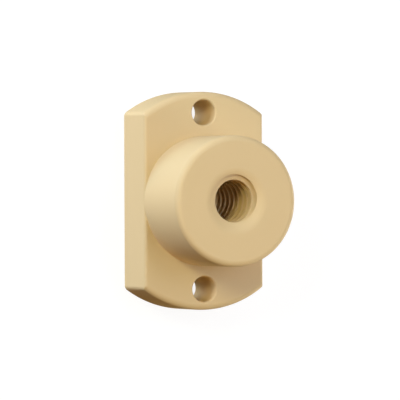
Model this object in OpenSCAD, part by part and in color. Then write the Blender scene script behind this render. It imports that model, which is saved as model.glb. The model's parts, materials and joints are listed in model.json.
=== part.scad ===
// Flanged lead screw nut, moulded in one piece: a round boss on a thick flange
// that is flat on two sides, with two fixing holes and a bore for a
// trapezoidal screw. +Z runs along the screw, out of the front of the boss,
// and the origin is the centre of the flange's back face.

/* [Boss] */
// Diameter of the round boss, and the flange's width across its two flats
boss_d = 25; // [20:0.5:30]
// How far the boss stands out in front of the flange
boss_len = 15; // [6:0.5:40]
// Radius on the front rim of the boss
boss_rim_r = 1.2; // [0.4:0.1:2.5]

/* [Flange] */
// Thickness of the flange
flange_t = 10; // [5:0.5:16]
// Radius on the front edge of the flange
front_r = 1; // [0.3:0.1:2]
// Radius on the back edge of the flange
back_r = 0.3; // [0.1:0.1:1]
// Radius on the four corners where the flats meet the round ends
corner_r = 0.5; // [0.3:0.1:2]

/* [Fixing holes] */
// Diameter of the two plain fixing holes
hole_d = 5; // [3:0.1:8]
// Wall between each fixing hole and the side of the boss
inner_wall = 2; // [1:0.1:5]
// Wall between each fixing hole and the round end of the flange
end_wall = 1.5; // [1:0.1:4]
// Width of the small bevel at each mouth of a fixing hole
hole_bevel = 0.2; // [0.1:0.1:0.6]

/* [Thread] */
// Nominal diameter of the screw that runs in the nut
screw_d = 10; // [8:0.5:14]
// Pitch of the trapezoidal thread
pitch = 2; // [1:0.5:3]
// How much further out than their nominal place the thread's crests lie
crest_gap = 0.1; // [0:0.05:0.3]
// Width of the shallow countersink at each mouth of the bore, from the bore out
mouth_width = 1.75; // [0.5:0.05:3]
// Slope of that countersink off the face, in degrees
mouth_slope = 27; // [15:1:60]

/* [Hidden] */
$fn = 128;
// Cuts run this far past the faces that they open on.
past = 1;
// The boss narrows by this much inside the flange, so only the side in front
// of the flange is the one that locates in a hole.
foot_taper = 0.1;
// Slope of the bevels at the fixing holes, in degrees
bevel_slope = 45;

boss_r = boss_d / 2;
hole_r = hole_d / 2;
total_len = flange_t + boss_len;
// Each fixing hole lies between the boss and the round end of the flange.
hole_y = boss_r + inner_wall + hole_r;
flange_r = hole_y + hole_r + end_wall;
// The bore is as wide as the thread's crests leave it.
bore_r = (screw_d - pitch) / 2 + crest_gap;

// What a rounding of radius r takes off a square corner, drawn from the
// rounding's centre
module corner_waste(r) {
    difference() {
        square(r + past);
        circle(r);
    }
}

// Section from the middle out to reach and from 0 up to height, with its
// outer corners rounded
module rounded_section(reach, height, low_r, high_r) {
    difference() {
        square([reach, height]);
        translate([reach - high_r, height - high_r])
            corner_waste(high_r);
        translate([reach - low_r, low_r])
            mirror([0, 1])
                corner_waste(low_r);
    }
}

// A round disc with rounded rims, cut to a slab whose two flats have the same
// rounded edges and lie flush with the sides of the boss
module flange() {
    difference() {
        intersection() {
            rotate_extrude()
                rounded_section(flange_r, flange_t, back_r, front_r);
            rotate([90, 0, 0])
                linear_extrude(height = 2 * (flange_r + past), center = true)
                    for (side = [0, 1])
                        mirror([side, 0])
                            rounded_section(boss_r, flange_t, back_r, front_r);
        }
        for (across = [0, 1], along = [0, 1])
            mirror([across, 0, 0])
                mirror([0, along, 0])
                    upright_corner_waste();
    }
}

// What the rounding of one upright corner takes off between a flat and a
// round end, where the rounding touches both
module upright_corner_waste() {
    centre_x = boss_r - corner_r;
    centre_y = sqrt(pow(flange_r - corner_r, 2) - pow(centre_x, 2));
    run = corner_r + past;
    translate([centre_x, centre_y, -past])
        linear_extrude(height = flange_t + 2 * past)
            difference() {
                polygon([[0, 0], [run, 0], [run, run * centre_y / centre_x]]);
                circle(corner_r);
            }
}

// The boss, whose straight side runs from the flange's front face to the
// rounded rim, on a tapered foot that reaches halfway down inside the flange
module boss() {
    foot_z = flange_t / 2;
    rotate_extrude()
        difference() {
            polygon([
                [0, foot_z],
                [boss_r - foot_taper, foot_z],
                [boss_r, flange_t],
                [boss_r, total_len],
                [0, total_len]
            ]);
            translate([boss_r - boss_rim_r, total_len - boss_rim_r])
                corner_waste(boss_rim_r);
        }
}

// A plain hole of radius r and the given depth, which a cone of the given
// width and slope widens at each end
module countersunk_hole(r, depth, width, slope) {
    translate([0, 0, -past])
        cylinder(h = depth + 2 * past, r = r);
    for (top = [0, 1])
        translate([0, 0, top * depth])
            mirror([0, 0, top])
                translate([0, 0, -past])
                    cylinder(
                        h = past + width * tan(slope),
                        r1 = r + width + past / tan(slope),
                        r2 = r
                    );
}

module nut_body() {
    color("#d3bd92")
        difference() {
            union() {
                flange();
                boss();
            }
            for (end = [-1, 1])
                translate([0, end * hole_y, 0])
                    countersunk_hole(hole_r, flange_t, hole_bevel, bevel_slope);
            countersunk_hole(bore_r, total_len, mouth_width, mouth_slope);
        }
}

nut_body();
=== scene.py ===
"""A flanged lead screw nut, moulded in tan bearing polymer, lying on its flange.

Lengths are in metres in the part's own frame: +Z runs along the screw, out of
the front of the boss, and the origin is the centre of the flange's back face.
"""

import json
import math

import bmesh
import bpy
from mathutils import Matrix, Vector

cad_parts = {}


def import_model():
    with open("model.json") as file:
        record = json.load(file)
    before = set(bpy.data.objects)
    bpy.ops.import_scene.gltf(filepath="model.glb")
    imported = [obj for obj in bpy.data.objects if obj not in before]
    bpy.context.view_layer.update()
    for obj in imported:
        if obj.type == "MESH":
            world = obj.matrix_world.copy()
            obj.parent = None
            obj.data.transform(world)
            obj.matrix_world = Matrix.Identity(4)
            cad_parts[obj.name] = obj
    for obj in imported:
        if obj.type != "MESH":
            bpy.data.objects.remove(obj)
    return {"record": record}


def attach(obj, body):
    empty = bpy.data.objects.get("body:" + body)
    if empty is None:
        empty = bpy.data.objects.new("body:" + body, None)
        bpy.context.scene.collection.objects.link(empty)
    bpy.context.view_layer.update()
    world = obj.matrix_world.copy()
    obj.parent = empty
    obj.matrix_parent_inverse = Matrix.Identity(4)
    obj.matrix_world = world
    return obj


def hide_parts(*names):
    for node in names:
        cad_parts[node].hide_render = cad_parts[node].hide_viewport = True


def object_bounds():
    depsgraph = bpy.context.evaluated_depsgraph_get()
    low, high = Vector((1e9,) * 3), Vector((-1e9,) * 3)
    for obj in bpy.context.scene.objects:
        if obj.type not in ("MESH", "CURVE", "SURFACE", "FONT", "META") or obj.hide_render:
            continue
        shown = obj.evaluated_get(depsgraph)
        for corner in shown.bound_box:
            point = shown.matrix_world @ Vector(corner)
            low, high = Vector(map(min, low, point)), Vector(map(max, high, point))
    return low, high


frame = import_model()
cad_low, cad_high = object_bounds()

MM = 0.001

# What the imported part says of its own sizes
mounts = {m["name"]: m for m in frame["record"]["mounts"]}
TOTAL_LEN = cad_high.z
FLANGE_R = cad_high.y
FLAT_X = cad_high.x
FLANGE_T = mounts["flange_front"]["pos_m"][2]
BOSS_R = mounts["boss_outside"]["dims"]["r_mm"] * MM
BORE_R = mounts["screw_thread"]["dims"]["r_mm"] * MM
HOLE_R = mounts["fixing_holes"]["dims"]["hole_r_mm"] * MM
HOLE_Y = mounts["fixing_holes"]["dims"]["spacing_y_mm"] * MM / 2

# Roundings and bevels of the mould. The flats' front edges have FRONT_ROUND, and
# the front edge of the two round ends is rounder, with DISC_ROUND.
FRONT_ROUND = 0.6 * MM
DISC_ROUND = 1.2 * MM
BACK_ROUND = 0.3 * MM
CORNER_ROUND = 1.0 * MM
BOSS_ROUND = 1.2 * MM
HOLE_BEVEL = 0.2 * MM
# The shallow countersink at each mouth of the bore, with a soft outer edge
MOUTH_WIDTH = 1.75 * MM
MOUTH_SLOPE = math.radians(27)
MOUTH_ROUND = 3.0 * MM
# The boss's foot inside the flange is this much narrower at its end.
FOOT_TAPER = 0.1 * MM

# The trapezoidal thread, right-handed, with its flanks 15 degrees off square
PITCH = 2.0 * MM
ROOT_R = 5.25 * MM
MID_R = 4.5 * MM
FLANK_LEAN = math.tan(math.radians(15))
CREST_ROUND = 0.1 * MM
ROOT_ROUND = 0.1 * MM
# Height of the first crest's front edge at angle 0
CREST_FRONT_Z = 23.2 * MM

# Facets round the outside and round the bore
ROUND_FACETS = 256
BORE_FACETS = 96
# Steps over a quarter circle, on the edges in front and on those that hardly show
FINE_STEPS = 9
PLAIN_STEPS = 4
# Surfaces that meet at less than this angle are shaded as one.
SMOOTH_ANGLE = math.radians(30)
# Tools that cut run this far past the faces that they open on.
PAST = 1.0 * MM
# Closer than TOUCH is the same place. The upright corners are looked for within
# CORNER_SEARCH, and points closer than the two merges are made one.
TOUCH = 0.001 * MM
CORNER_SEARCH = 0.05 * MM
ROUNDING_MERGE = 0.045 * MM
LAST_MERGE = 0.0005 * MM

# The grain of the moulded surface, drawn coarser than the real one so that it shows
CLOUD_SIZE = 6 * MM
GRAIN_SIZE = 0.25 * MM
GRAIN_DEPTH = 0.01 * MM

FLOOR_SIZE = 1.2
FLOOR_GAP = 0.05 * MM
LAMP_DISTANCE = 0.5

# The camera's place: how far round and above the screw's axis it stands, how much it
# is turned about its own line of sight, and how far off the flange's middle it aims
CAMERA_TURN = math.radians(24.297)
CAMERA_TILT = math.radians(0.402)
CAMERA_ROLL = math.radians(-0.2161)
CAMERA_DISTANCE = 1.04
AIM_LEFT = 0.8188 * MM
AIM_UP = 0.1616 * MM
LENS_MM = 486.5
SENSOR_MM = 36.0


def deselect_all():
    bpy.ops.object.select_all(action="DESELECT")


def edit(piece):
    """Opens one piece in edit mode with nothing on it selected."""
    deselect_all()
    piece.select_set(True)
    bpy.context.view_layer.objects.active = piece
    bpy.ops.object.mode_set(mode="EDIT")
    bpy.ops.mesh.select_all(action="DESELECT")


def close_edit():
    bpy.ops.object.mode_set(mode="OBJECT")


def pick(kind, test):
    """Selects the edges or faces of the piece in edit mode that pass a test."""
    bpy.ops.mesh.select_mode(type=kind)
    bpy.ops.mesh.select_all(action="DESELECT")
    data = bpy.context.edit_object.data
    mesh = bmesh.from_edit_mesh(data)
    parts = {"EDGE": mesh.edges, "FACE": mesh.faces}[kind]
    for part in parts:
        if test(part):
            part.select_set(True)
    mesh.select_flush_mode()
    bmesh.update_edit_mesh(data)


def faces_at(z):
    """A test for the flat faces at one height."""
    return lambda face: all(abs(v.co.z - z) < TOUCH for v in face.verts)


def edges_at(z):
    """A test for the edges that lie at one height."""
    return lambda edge: all(abs(v.co.z - z) < TOUCH for v in edge.verts)


def cylinder(name, radius, low, high, facets, turn=0.0, at_y=0.0):
    """A cylinder primitive along Z between two heights, with its place in its mesh."""
    deselect_all()
    bpy.ops.mesh.primitive_cylinder_add(
        vertices=facets,
        radius=radius,
        depth=high - low,
        location=(0, at_y, (low + high) / 2),
        rotation=(0, 0, turn),
    )
    piece = bpy.context.object
    piece.name = name
    bpy.ops.object.transform_apply(location=True, rotation=True, scale=True)
    return piece


def round_end(radius, steps):
    """Insets the selected end face step by step over a quarter circle."""
    for step in range(steps):
        start = math.radians(90 * step / steps)
        stop = math.radians(90 * (step + 1) / steps)
        bpy.ops.mesh.inset(
            thickness=radius * (math.cos(start) - math.cos(stop)),
            depth=radius * (math.sin(stop) - math.sin(start)),
            use_even_offset=True,
        )
        # Where a tighter corner has run out, its points become one.
        bpy.ops.mesh.remove_doubles(threshold=ROUNDING_MERGE, use_unselected=False)


def grow_end(height, scale, centre):
    """Extrudes the selected end face along Z and widens or narrows it."""
    bpy.ops.mesh.extrude_region_move(TRANSFORM_OT_translate={"value": (0, 0, height)})
    bpy.ops.transform.resize(value=(scale, scale, 1), center_override=centre)


def flange():
    """The thick flange: a disc with two flats, rounded all along both of its outlines."""
    piece = cylinder("flange", FLANGE_R, BACK_ROUND, FLANGE_T - FRONT_ROUND, ROUND_FACETS)
    edit(piece)
    for side in (-1, 1):
        bpy.ops.mesh.select_all(action="SELECT")
        bpy.ops.mesh.bisect(
            plane_co=(side * FLAT_X, 0, 0),
            plane_no=(side, 0, 0),
            use_fill=True,
            clear_outer=True,
            threshold=TOUCH,
        )
    # The upright corners, where the flats meet the round ends
    corner_y = math.sqrt(FLANGE_R**2 - FLAT_X**2)
    pick(
        "EDGE",
        lambda edge: all(
            abs(abs(v.co.x) - FLAT_X) < TOUCH and abs(abs(v.co.y) - corner_y) < CORNER_SEARCH
            for v in edge.verts
        )
        and abs(edge.verts[0].co.z - edge.verts[1].co.z) > TOUCH,
    )
    turn = math.acos(FLAT_X / FLANGE_R)
    bpy.ops.mesh.bevel(
        offset=CORNER_ROUND * math.tan(turn / 2),
        segments=PLAIN_STEPS,
        affect="EDGES",
        profile=0.5,
    )
    pick("FACE", faces_at(FLANGE_T - FRONT_ROUND))
    round_end(FRONT_ROUND, FINE_STEPS)
    pick("FACE", faces_at(BACK_ROUND))
    round_end(BACK_ROUND, PLAIN_STEPS)
    close_edit()
    return piece


def boss():
    """The round boss with its rounded rim, on a tapered foot inside the flange."""
    # Turned by half a facet, so that no corner of it touches the flats
    piece = cylinder(
        "boss", BOSS_R, FLANGE_T, TOTAL_LEN, ROUND_FACETS, turn=math.pi / ROUND_FACETS
    )
    edit(piece)
    pick("EDGE", edges_at(TOTAL_LEN))
    bpy.ops.mesh.bevel(
        offset=BOSS_ROUND, segments=FINE_STEPS, affect="EDGES", profile=0.5
    )
    pick("FACE", faces_at(FLANGE_T))
    grow_end(-FLANGE_T / 2, (BOSS_R - FOOT_TAPER) / BOSS_R, (0, 0, 0))
    close_edit()
    return piece


def turned_tool(name, rings, facets, turn=0.0, at_y=0.0):
    """A round cutting tool, grown along Z from ring to ring. A ring is its radius and height."""
    (radius, z), (next_radius, next_z) = rings[:2]
    piece = cylinder(name, radius, min(z, next_z), max(z, next_z), facets, turn, at_y)
    edit(piece)
    pick("FACE", faces_at(next_z))
    grow = next_radius / radius
    bpy.ops.transform.resize(value=(grow, grow, 1), center_override=(0, at_y, 0))
    for (radius, z), (next_radius, next_z) in zip(rings[1:], rings[2:]):
        grow_end(next_z - z, next_radius / radius, (0, at_y, 0))
    close_edit()
    return piece


def disc_tool(steps=10):
    """The flange is kept only inside this round body, which rounds its ends in front."""
    # The arc stops a little short at both ends and runs on along its tangents, so that
    # it meets the round side and the front face at a very low angle.
    short = math.radians(4)
    reach = 0.3 * MM
    centre_r = FLANGE_R - DISC_ROUND
    centre_z = FLANGE_T - DISC_ROUND
    arc = []
    for step in range(steps + 1):
        angle = short + (math.radians(90) - 2 * short) * step / steps
        radius = centre_r + DISC_ROUND * math.cos(angle)
        arc.append((radius, centre_z + DISC_ROUND * math.sin(angle)))
    aside = reach * math.sin(short)
    along = reach * math.cos(short)
    below = (arc[0][0] + aside, arc[0][1] - along)
    above = (arc[-1][0] - along, arc[-1][1] + aside)
    rings = [
        (FLANGE_R + PAST, -PAST),
        (FLANGE_R + PAST, below[1] - PAST),
        below,
        *arc,
        above,
        (above[0], FLANGE_T + PAST),
    ]
    return turned_tool("disc_tool", rings, ROUND_FACETS, turn=math.pi / ROUND_FACETS)


def mouth_tool(name, z, out, steps=8):
    """A cutting tool for the countersink at one mouth of the bore, facing out (1 or -1)."""
    # The tool's first ring is this far inside the bore.
    inside = 0.5 * MM
    edge_r = BORE_R + MOUTH_WIDTH + MOUTH_ROUND * math.tan(MOUTH_SLOPE / 2)
    rings = [(BORE_R - inside, z - out * (MOUTH_WIDTH + inside) * math.tan(MOUTH_SLOPE))]
    for step in range(steps + 1):
        lean = MOUTH_SLOPE * (1 - step / steps)
        depth = MOUTH_ROUND * (1 - math.cos(lean))
        rings.append((edge_r - MOUTH_ROUND * math.sin(lean), z - out * depth))
    rings.append((edge_r, z + out * PAST))
    return turned_tool(name, rings, BORE_FACETS)


def groove_half_width(radius):
    """Half of the thread groove's width along the screw at one radius."""
    return PITCH / 4 - (radius - MID_R) * FLANK_LEAN


def thread_tool():
    """A coil with the section of the thread's groove, longer than the nut."""
    middle = CREST_FRONT_Z + groove_half_width(BORE_R)
    # It runs two turns past both faces of the nut.
    spare = 2 * PITCH
    turns_below = math.ceil((middle + spare) / PITCH)
    turns = turns_below + math.ceil((TOTAL_LEN - middle + spare) / PITCH)
    start = middle - turns_below * PITCH
    inner = BORE_R - 4 * CREST_ROUND
    # Up one side of the groove's section from inside the bore to the root
    side = [
        (inner, groove_half_width(inner) + CREST_ROUND),
        (BORE_R - CREST_ROUND, groove_half_width(BORE_R) + 1.5 * CREST_ROUND),
        (BORE_R + CREST_ROUND, groove_half_width(BORE_R + CREST_ROUND)),
        (ROOT_R - ROOT_ROUND, groove_half_width(ROOT_R - ROOT_ROUND)),
        (ROOT_R, groove_half_width(ROOT_R) - ROOT_ROUND),
    ]
    section = side + [(radius, -half) for radius, half in reversed(side)]
    deselect_all()
    bpy.ops.mesh.primitive_circle_add(
        vertices=len(section), radius=BORE_R, fill_type="NOTHING"
    )
    piece = bpy.context.object
    piece.name = "thread_tool"
    for vertex, (radius, height) in zip(piece.data.vertices, section):
        vertex.co = (radius, 0, start + height)
    return piece, turns


def apply_modifier(piece, kind, **settings):
    """Adds one modifier with its settings and applies it."""
    deselect_all()
    piece.select_set(True)
    bpy.context.view_layer.objects.active = piece
    modifier = piece.modifiers.new(kind.lower(), kind)
    for name, value in settings.items():
        setattr(modifier, name, value)
    bpy.ops.object.modifier_apply(modifier=modifier.name)


def wind_thread_tool():
    """Winds the groove's section into a coil and closes its two ends."""
    piece, turns = thread_tool()
    apply_modifier(
        piece,
        "SCREW",
        axis="Z",
        angle=math.radians(360),
        screw_offset=PITCH,
        iterations=turns,
        steps=BORE_FACETS,
        render_steps=BORE_FACETS,
        use_smooth_shade=False,
    )
    edit(piece)
    bpy.ops.mesh.select_mode(type="EDGE")
    bpy.ops.mesh.select_non_manifold(extend=False)
    bpy.ops.mesh.fill()
    bpy.ops.mesh.select_all(action="SELECT")
    bpy.ops.mesh.quads_convert_to_tris()
    bpy.ops.mesh.normals_make_consistent(inside=False)
    # Half a facet off the bore's own corners, so that no two edges cross at a corner
    half_facet = math.pi / BORE_FACETS
    bpy.ops.transform.rotate(
        value=-half_facet, orient_axis="Z", center_override=(0, 0, 0)
    )
    bpy.ops.transform.translate(value=(0, 0, PITCH * half_facet / (2 * math.pi)))
    close_edit()
    return piece


def combine(piece, tool, operation):
    """Joins or cuts a piece with a tool, which is then thrown away."""
    apply_modifier(
        piece, "BOOLEAN", operation=operation, object=tool, solver="EXACT", use_self=False
    )
    bpy.data.objects.remove(tool)


def nut():
    """The whole nut in one piece, with its holes and its thread cut."""
    piece = flange()
    combine(piece, disc_tool(), "INTERSECT")
    combine(piece, boss(), "UNION")
    piece.name = "nut"
    piece.data.name = "nut"
    for name, side in (("upper_hole_tool", 1), ("lower_hole_tool", -1)):
        rings = [
            (HOLE_R + HOLE_BEVEL + PAST, -PAST),
            (HOLE_R, HOLE_BEVEL),
            (HOLE_R, FLANGE_T - HOLE_BEVEL),
            (HOLE_R + HOLE_BEVEL + PAST, FLANGE_T + PAST),
        ]
        tool = turned_tool(name, rings, BORE_FACETS, at_y=side * HOLE_Y)
        combine(piece, tool, "DIFFERENCE")
    bore = cylinder("bore_tool", BORE_R, -PAST, TOTAL_LEN + PAST, BORE_FACETS)
    combine(piece, bore, "DIFFERENCE")
    combine(piece, mouth_tool("front_mouth_tool", TOTAL_LEN, 1), "DIFFERENCE")
    combine(piece, mouth_tool("back_mouth_tool", 0, -1), "DIFFERENCE")
    combine(piece, wind_thread_tool(), "DIFFERENCE")
    edit(piece)
    bpy.ops.mesh.select_all(action="SELECT")
    bpy.ops.mesh.remove_doubles(threshold=LAST_MERGE)
    bpy.ops.mesh.normals_make_consistent(inside=False)
    close_edit()
    bpy.ops.object.shade_smooth_by_angle(angle=SMOOTH_ANGLE)
    apply_modifier(piece, "WEIGHTED_NORMAL", keep_sharp=True, weight=100)
    return piece


def linear(hex_colour):
    """A colour written as sRGB hex, in linear light."""
    channels = [int(hex_colour[i : i + 2], 16) / 255 for i in (1, 3, 5)]
    return (
        *(c / 12.92 if c <= 0.04045 else ((c + 0.055) / 1.055) ** 2.4 for c in channels),
        1.0,
    )


def add_node(tree, kind, inputs=None, links=None, **settings):
    """Adds one node with its settings, the values of its inputs and its links."""
    node = tree.nodes.new(kind)
    for name, value in settings.items():
        setattr(node, name, value)
    for name, value in (inputs or {}).items():
        node.inputs[name].default_value = value
    for name, source in (links or {}).items():
        tree.links.new(source, node.inputs[name])
    return node


def empty_material(name):
    material = bpy.data.materials.new(name)
    material.use_nodes = True
    material.node_tree.nodes.clear()
    return material, material.node_tree


def moulded_polymer():
    """Tan filled bearing polymer, injection moulded.

    To the eye it is matt and even, with a very fine grain and hardly any sheen. The
    filler makes its tone drift a little from place to place.
    """
    material, tree = empty_material("moulded_bearing_polymer")
    place = add_node(tree, "ShaderNodeTexCoord").outputs["Object"]
    clouds = add_node(
        tree, "ShaderNodeTexNoise", {"Scale": 1 / CLOUD_SIZE, "Detail": 3.0}, {"Vector": place}
    )
    tone = add_node(
        tree,
        "ShaderNodeMix",
        {"A": linear("#d8be90"), "B": linear("#dac093")},
        {"Factor": clouds.outputs["Fac"]},
        data_type="RGBA",
    )
    grain = add_node(
        tree, "ShaderNodeTexNoise", {"Scale": 1 / GRAIN_SIZE, "Detail": 2.0}, {"Vector": place}
    )
    bump = add_node(
        tree,
        "ShaderNodeBump",
        {"Strength": 0.3, "Distance": GRAIN_DEPTH},
        {"Height": grain.outputs["Fac"]},
    )
    shader = add_node(
        tree,
        "ShaderNodeBsdfPrincipled",
        {"Roughness": 0.6, "IOR": 1.5, "Specular IOR Level": 0.25},
        {"Base Color": tone.outputs["Result"], "Normal": bump.outputs["Normal"]},
    )
    add_node(tree, "ShaderNodeOutputMaterial", links={"Surface": shader.outputs["BSDF"]})
    return material


nut_piece = nut()
nut_piece.data.materials.clear()
nut_piece.data.materials.append(moulded_polymer())
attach(nut_piece, "root")
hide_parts("nut_body")


def studio_floor():
    """A pale matt floor just under the nut. It is white where it is lit, and clear from below."""
    deselect_all()
    bpy.ops.mesh.primitive_plane_add(size=FLOOR_SIZE, location=(0, 0, -FLOOR_GAP))
    floor = bpy.context.object
    floor.name = "floor"
    material, tree = empty_material("white_studio_floor")
    path = add_node(tree, "ShaderNodeLightPath")
    side = add_node(tree, "ShaderNodeNewGeometry")
    # A little less than white by itself, so that it keeps a faint shadow of the nut
    glow = add_node(
        tree,
        "ShaderNodeEmission",
        {"Color": linear("#f3f3f3")},
        {"Strength": path.outputs["Is Camera Ray"]},
    )
    matt = add_node(tree, "ShaderNodeBsdfDiffuse", {"Color": linear("#6e6e6e")})
    top = add_node(tree, "ShaderNodeAddShader", links={0: glow.outputs[0], 1: matt.outputs[0]})
    clear = add_node(tree, "ShaderNodeBsdfTransparent")
    both = add_node(
        tree,
        "ShaderNodeMixShader",
        links={0: side.outputs["Backfacing"], 1: top.outputs[0], 2: clear.outputs[0]},
    )
    add_node(tree, "ShaderNodeOutputMaterial", links={"Surface": both.outputs[0]})
    floor.data.materials.append(material)
    # The lamps below the floor shine up through it, as through a glass table.
    floor.visible_diffuse = False
    floor.visible_glossy = False
    floor.visible_shadow = False


def softbox(name, turn, height, power, colour, size=0.25):
    """A square soft lamp that faces the nut.

    It stands turn degrees from +X about Z and height degrees up, and gives power watts.
    """
    turn, height = math.radians(turn), math.radians(height)
    towards = Vector(
        (
            math.cos(turn) * math.cos(height),
            math.sin(turn) * math.cos(height),
            math.sin(height),
        )
    )
    lamp = bpy.data.lights.new(name, "AREA")
    lamp.shape = "SQUARE"
    lamp.size = size
    lamp.energy = power
    lamp.color = colour
    holder = bpy.data.objects.new(name, lamp)
    holder.location = towards * LAMP_DISTANCE + Vector((0, 0, TOTAL_LEN / 2))
    holder.rotation_mode = "QUATERNION"
    holder.rotation_quaternion = towards.to_track_quat("Z", "Y")
    holder.visible_camera = False
    bpy.context.scene.collection.objects.link(holder)


def camera():
    """A long lens, 24.3 degrees round to the left of the screw's axis and level with it."""
    right = Vector((math.cos(CAMERA_TURN), 0, math.sin(CAMERA_TURN)))
    level = Vector((math.sin(CAMERA_TURN), 0, -math.cos(CAMERA_TURN)))
    up = Vector((0, 1, 0))
    ahead = level * math.cos(CAMERA_TILT) - up * math.sin(CAMERA_TILT)
    above = up * math.cos(CAMERA_TILT) + level * math.sin(CAMERA_TILT)
    right, above = (
        right * math.cos(CAMERA_ROLL) + above * math.sin(CAMERA_ROLL),
        above * math.cos(CAMERA_ROLL) - right * math.sin(CAMERA_ROLL),
    )
    target = Vector((0, 0, FLANGE_T)) - right * AIM_LEFT + above * AIM_UP
    lens = bpy.data.cameras.new("camera")
    lens.sensor_width = SENSOR_MM
    lens.lens = LENS_MM
    lens.clip_start = 0.1
    lens.clip_end = 10.0
    holder = bpy.data.objects.new("camera", lens)
    turned = Matrix((right, above, -ahead)).transposed().to_4x4()
    holder.matrix_world = Matrix.Translation(target - ahead * CAMERA_DISTANCE) @ turned
    bpy.context.scene.collection.objects.link(holder)
    bpy.context.scene.camera = holder


def world():
    """A plain white backdrop all round. It is only seen, and the lamps do all of the lighting."""
    sky = bpy.data.worlds.new("room")
    sky.use_nodes = True
    tree = sky.node_tree
    tree.nodes.clear()
    path = add_node(tree, "ShaderNodeLightPath")
    white = add_node(
        tree,
        "ShaderNodeBackground",
        {"Color": linear("#ffffff")},
        {"Strength": path.outputs["Is Camera Ray"]},
    )
    add_node(tree, "ShaderNodeOutputWorld", links={"Surface": white.outputs[0]})
    bpy.context.scene.world = sky


studio_floor()
# The tints and powers below belong together, so none is changed alone. The small key
# lamp makes the edge of the shadow in the bore, and the last one lights the bore's
# far crests from behind.
softbox("key_softbox", 150, 10, 1.460, (0.63, 0.70, 1.00))
softbox("upper_key_softbox", 165, 22, 0.783, (0.84, 0.99, 1.00))
softbox("key_lamp", 148, 48, 0.765, (1.00, 0.91, 0.43), size=0.1)
softbox("top_softbox", 30, 68, 0.845, (0.74, 0.78, 1.00))
softbox("upper_softbox", 84, 45, 0.559, (0.95, 0.96, 1.00))
softbox("right_softbox", 330, 45, 0.572, (1.00, 0.99, 0.87))
softbox("lower_softbox", 255, 22, 0.463, (1.00, 0.44, 0.00))
softbox("back_softbox", 120, -22, 0.868, (0.87, 0.92, 1.00))
softbox("low_back_softbox", 135, -45, 0.636, (0.80, 1.00, 0.96))
softbox("right_edge_softbox", 324, 0, 1.008, (0.92, 1.00, 0.82))
softbox("right_back_softbox", 0, -22, 1.188, (1.00, 0.93, 0.99))
softbox("bore_back_lamp", 150, -78, 0.700, (1.00, 0.71, 0.43), size=0.15)
world()
camera()
bpy.context.scene.view_settings.view_transform = "Standard"
